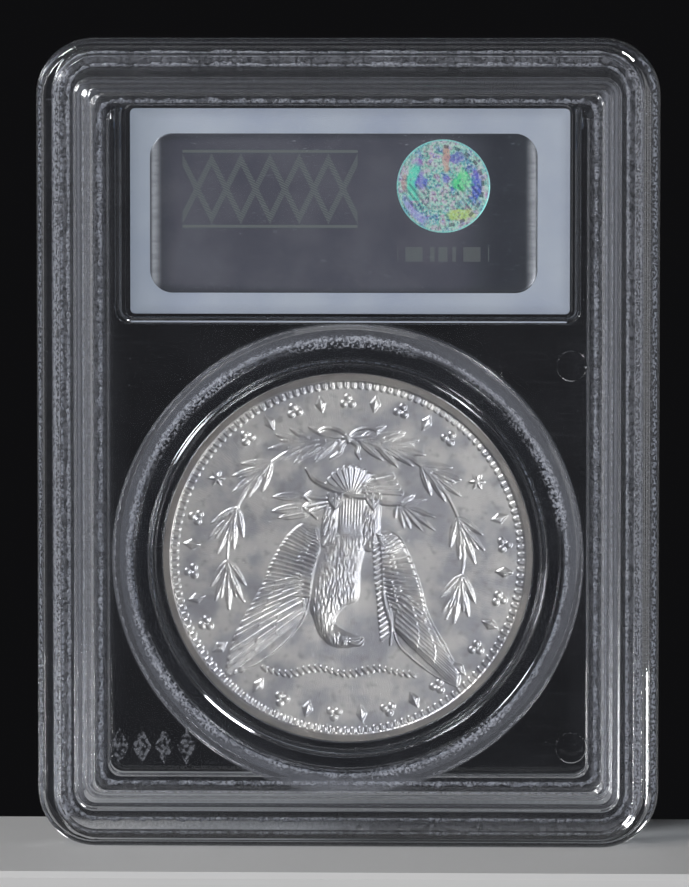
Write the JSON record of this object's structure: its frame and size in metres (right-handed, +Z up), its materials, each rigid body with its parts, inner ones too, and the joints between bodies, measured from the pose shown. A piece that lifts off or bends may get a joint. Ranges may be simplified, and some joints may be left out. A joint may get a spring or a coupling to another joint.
{
  "type": "graded coin slab",
  "caption": "Clear sealed two-shell holder that displays a dollar-sized coin in a clear ring, with a paper label and foil seal above it and stepped rims for stacking.",
  "frame": {"origin": "middle of the lower edge, at the parting plane between the two shells", "axes": "+Z up the holder's height, +X across its width, +Y through its thickness towards the front face; the rear face with the foil seal is at -Y"},
  "size_m": [0.064, 0.0078, 0.0834],
  "materials": {
    "clear_shell": "clear polished polystyrene with fine rubbing marks",
    "weld_bead": "frosted, uneven melted bead",
    "clear_ring": "clear satin flexible ring",
    "coin_silver": "frosty uncirculated silver with light toning at the rim",
    "label_paper": "smooth pale blue-grey coated paper",
    "dark_foil": "dark grey hot-stamped foil, semi-gloss with fine brushing",
    "hologram": "diffractive foil, green and blue speckle"
  },
  "bodies": {
    "root": {"rear_shell": "clear_shell", "front_shell": "clear_shell", "outer_weld_bead": "weld_bead", "inner_weld_bead": "weld_bead", "well_weld_bead": "weld_bead", "coin_ring": "clear_ring", "coin": "coin_silver", "paper_label": "label_paper", "foil_seal": "dark_foil", "round_hologram": "hologram"}
  },
  "joints": []
}
